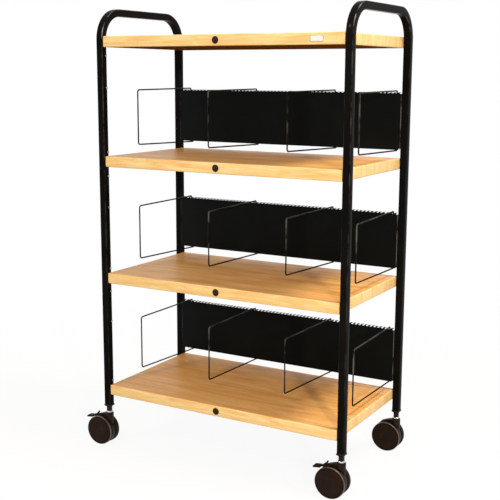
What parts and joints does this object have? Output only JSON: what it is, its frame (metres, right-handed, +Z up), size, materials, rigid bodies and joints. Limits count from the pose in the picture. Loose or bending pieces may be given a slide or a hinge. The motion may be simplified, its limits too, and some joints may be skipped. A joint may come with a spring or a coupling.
{
  "type": "medical chart rack",
  "caption": "Rolling open chart rack: bent square-tube side frames, oak-laminate shelves, slotted steel back panels with wire dividers, and swivelling twin-wheel casters with brakes.",
  "frame": {"origin": "on the floor, in the middle of the outline that the rack and its casters cover", "axes": "+Z up, +Y from the open front to the back panels, +X to the right seen from the front"},
  "size_m": [0.9952, 0.4986, 1.477],
  "materials": {
    "tube_paint": "gloss black enamel on square steel tube",
    "sheet_paint": "satin black powder coat on sheet steel",
    "wire_paint": "satin black powder coat on steel wire",
    "oak_laminate": "light oak laminate with matching edge band",
    "plug_plastic": "moulded black",
    "socket_plastic": "moulded black",
    "hood_nylon": "moulded black nylon",
    "wheel_nylon": "moulded black nylon, fine matt",
    "zinc_plate": "bright zinc plate"
  },
  "bodies": {
    "rack": {"side_frame_left": "tube_paint", "side_frame_right": "tube_paint", "shelf_1": "oak_laminate", "edge_plug_1": "plug_plastic", "shelf_2": "oak_laminate", "edge_plug_2": "plug_plastic", "shelf_3": "oak_laminate", "edge_plug_3": "plug_plastic", "shelf_4": "oak_laminate", "edge_plug_4": "plug_plastic", "back_panel_1": "sheet_paint", "divider_1_1": "wire_paint", "divider_1_2": "wire_paint", "divider_1_3": "wire_paint", "divider_1_4": "wire_paint", "back_panel_2": "sheet_paint", "divider_2_1": "wire_paint", "divider_2_2": "wire_paint", "divider_2_3": "wire_paint", "divider_2_4": "wire_paint", "back_panel_3": "sheet_paint", "divider_3_1": "wire_paint", "divider_3_2": "wire_paint", "divider_3_3": "wire_paint", "divider_3_4": "wire_paint", "socket_front_left": "socket_plastic", "stem_front_left": "zinc_plate", "socket_front_right": "socket_plastic", "stem_front_right": "zinc_plate", "socket_rear_left": "socket_plastic", "stem_rear_left": "zinc_plate", "socket_rear_right": "socket_plastic", "stem_rear_right": "zinc_plate"},
    "caster_front_left": {"hood_front_left": "hood_nylon", "axle_front_left": "zinc_plate"},
    "wheel_front_left_fore": {"wheel_front_left_fore": "wheel_nylon"},
    "wheel_front_left_aft": {"wheel_front_left_aft": "wheel_nylon"},
    "brake_lever_front_left": {"brake_lever_front_left": "hood_nylon"},
    "caster_front_right": {"hood_front_right": "hood_nylon", "axle_front_right": "zinc_plate"},
    "wheel_front_right_fore": {"wheel_front_right_fore": "wheel_nylon"},
    "wheel_front_right_aft": {"wheel_front_right_aft": "wheel_nylon"},
    "brake_lever_front_right": {"brake_lever_front_right": "hood_nylon"},
    "caster_rear_left": {"hood_rear_left": "hood_nylon", "axle_rear_left": "zinc_plate"},
    "wheel_rear_left_fore": {"wheel_rear_left_fore": "wheel_nylon"},
    "wheel_rear_left_aft": {"wheel_rear_left_aft": "wheel_nylon"},
    "caster_rear_right": {"hood_rear_right": "hood_nylon", "axle_rear_right": "zinc_plate"},
    "wheel_rear_right_fore": {"wheel_rear_right_fore": "wheel_nylon"},
    "wheel_rear_right_aft": {"wheel_rear_right_aft": "wheel_nylon"}
  },
  "joints": [
    {"name": "swivel_front_left", "type": "hinge", "parent": "rack", "child": "caster_front_left", "pos_m": [-0.40534, -0.2233, 0.1], "axis": [0, 0, 1], "continuous": true},
    {"name": "roll_front_left_fore", "type": "hinge", "parent": "caster_front_left", "child": "wheel_front_left_fore", "pos_m": [-0.43334, -0.2233, 0.05048], "axis": [0, 1, 0], "continuous": true},
    {"name": "roll_front_left_aft", "type": "hinge", "parent": "caster_front_left", "child": "wheel_front_left_aft", "pos_m": [-0.43334, -0.2233, 0.05048], "axis": [0, 1, 0], "continuous": true},
    {"name": "brake_front_left", "type": "hinge", "parent": "caster_front_left", "child": "brake_lever_front_left", "pos_m": [-0.45964, -0.2233, 0.09603], "axis": [0, -1, 0], "range_deg": [0, 10]},
    {"name": "swivel_front_right", "type": "hinge", "parent": "rack", "child": "caster_front_right", "pos_m": [0.47516, -0.2233, 0.1], "axis": [0, 0, 1], "continuous": true},
    {"name": "roll_front_right_fore", "type": "hinge", "parent": "caster_front_right", "child": "wheel_front_right_fore", "pos_m": [0.44716, -0.2233, 0.05048], "axis": [0, 1, 0], "continuous": true},
    {"name": "roll_front_right_aft", "type": "hinge", "parent": "caster_front_right", "child": "wheel_front_right_aft", "pos_m": [0.44716, -0.2233, 0.05048], "axis": [0, 1, 0], "continuous": true},
    {"name": "brake_front_right", "type": "hinge", "parent": "caster_front_right", "child": "brake_lever_front_right", "pos_m": [0.42086, -0.2233, 0.09603], "axis": [0, -1, 0], "range_deg": [0, 10]},
    {"name": "swivel_rear_left", "type": "hinge", "parent": "rack", "child": "caster_rear_left", "pos_m": [-0.40534, 0.2233, 0.1], "axis": [0, 0, 1], "continuous": true},
    {"name": "roll_rear_left_fore", "type": "hinge", "parent": "caster_rear_left", "child": "wheel_rear_left_fore", "pos_m": [-0.43334, 0.2233, 0.05048], "axis": [0, 1, 0], "continuous": true},
    {"name": "roll_rear_left_aft", "type": "hinge", "parent": "caster_rear_left", "child": "wheel_rear_left_aft", "pos_m": [-0.43334, 0.2233, 0.05048], "axis": [0, 1, 0], "continuous": true},
    {"name": "swivel_rear_right", "type": "hinge", "parent": "rack", "child": "caster_rear_right", "pos_m": [0.47516, 0.2233, 0.1], "axis": [0, 0, 1], "continuous": true},
    {"name": "roll_rear_right_fore", "type": "hinge", "parent": "caster_rear_right", "child": "wheel_rear_right_fore", "pos_m": [0.44716, 0.2233, 0.05048], "axis": [0, 1, 0], "continuous": true},
    {"name": "roll_rear_right_aft", "type": "hinge", "parent": "caster_rear_right", "child": "wheel_rear_right_aft", "pos_m": [0.44716, 0.2233, 0.05048], "axis": [0, 1, 0], "continuous": true}
  ]
}
